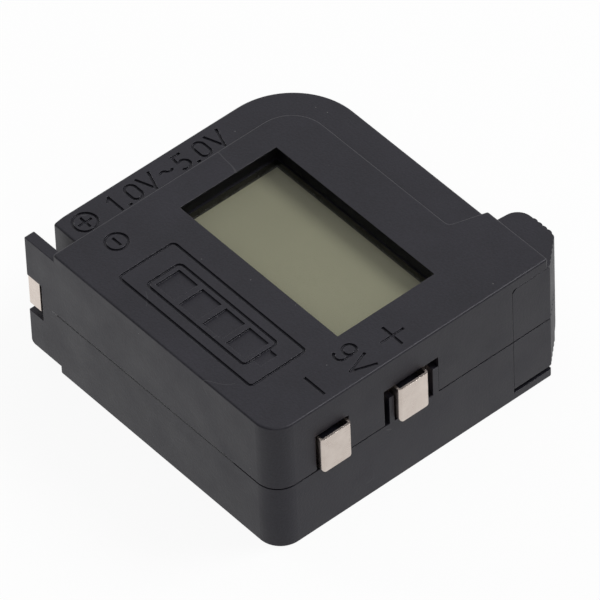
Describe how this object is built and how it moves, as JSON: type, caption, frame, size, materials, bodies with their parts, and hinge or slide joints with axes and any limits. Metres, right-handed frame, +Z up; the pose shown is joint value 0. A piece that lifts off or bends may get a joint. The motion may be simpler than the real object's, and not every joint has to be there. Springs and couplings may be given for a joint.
{
  "type": "battery tester",
  "caption": "Black pocket battery tester: a sliding arm clamps a round cell against a fixed tab, side plates touch a block battery, and a recessed display faces up.",
  "frame": {"origin": "middle of the 60 by 56.6 mm footprint (tab end to right face, front face to back of the flange), on the flat underside", "axes": "+X towards the side plates, +Y the way the arm pulls out, +Z up through the display"},
  "size_m": [0.0611, 0.0624, 0.0268],
  "materials": {
    "black_plastic": "satin moulded, fine grain",
    "clear_sheet": "clear polished sheet",
    "display_film": "matt polarising film",
    "display_glass": "clear",
    "reflector_film": "diffuse silver film",
    "foam": "matt foam",
    "elastomer": "matt",
    "board_laminate": "solder mask",
    "resin": "gloss",
    "chip_dark": "matt",
    "chip_tan": "matt",
    "ferrite": "matt",
    "can_aluminium": "drawn",
    "nickel_sheet": "satin nickel plate",
    "spring_bronze": "bright",
    "screw_steel": "zinc plated",
    "wire_jacket": "smooth"
  },
  "bodies": {
    "case": {"upper_shell": "black_plastic", "lower_shell": "black_plastic", "display_window": "clear_sheet", "display_frame": "black_plastic", "lcd_polariser": "display_film", "lcd_front_glass": "display_glass", "lcd_rear_glass": "display_glass", "lcd_reflector": "reflector_film", "lcd_cushion": "foam", "zebra_strip": "elastomer", "circuit_board": "board_laminate", "controller_potting": "resin", "chip_resistors": "chip_dark", "chip_capacitors": "chip_tan", "boost_inductor": "ferrite", "reservoir_capacitor": "can_aluminium", "rectifier_diode": "chip_dark", "nine_volt_negative_contact": "nickel_sheet", "nine_volt_positive_contact": "nickel_sheet", "cell_negative_contact": "nickel_sheet", "wiper_spring": "spring_bronze", "case_screws": "screw_steel", "board_screws": "screw_steel"},
    "arm": {"arm_upper_half": "black_plastic", "arm_lower_half": "black_plastic", "cell_positive_contact": "nickel_sheet", "contact_rail": "spring_bronze", "arm_lead": "wire_jacket", "arm_screws": "screw_steel"}
  },
  "joints": [
    {"name": "arm_slide", "type": "slide", "parent": "case", "child": "arm", "axis": [0, 1, 0], "range_m": [0, 0.0475]}
  ]
}
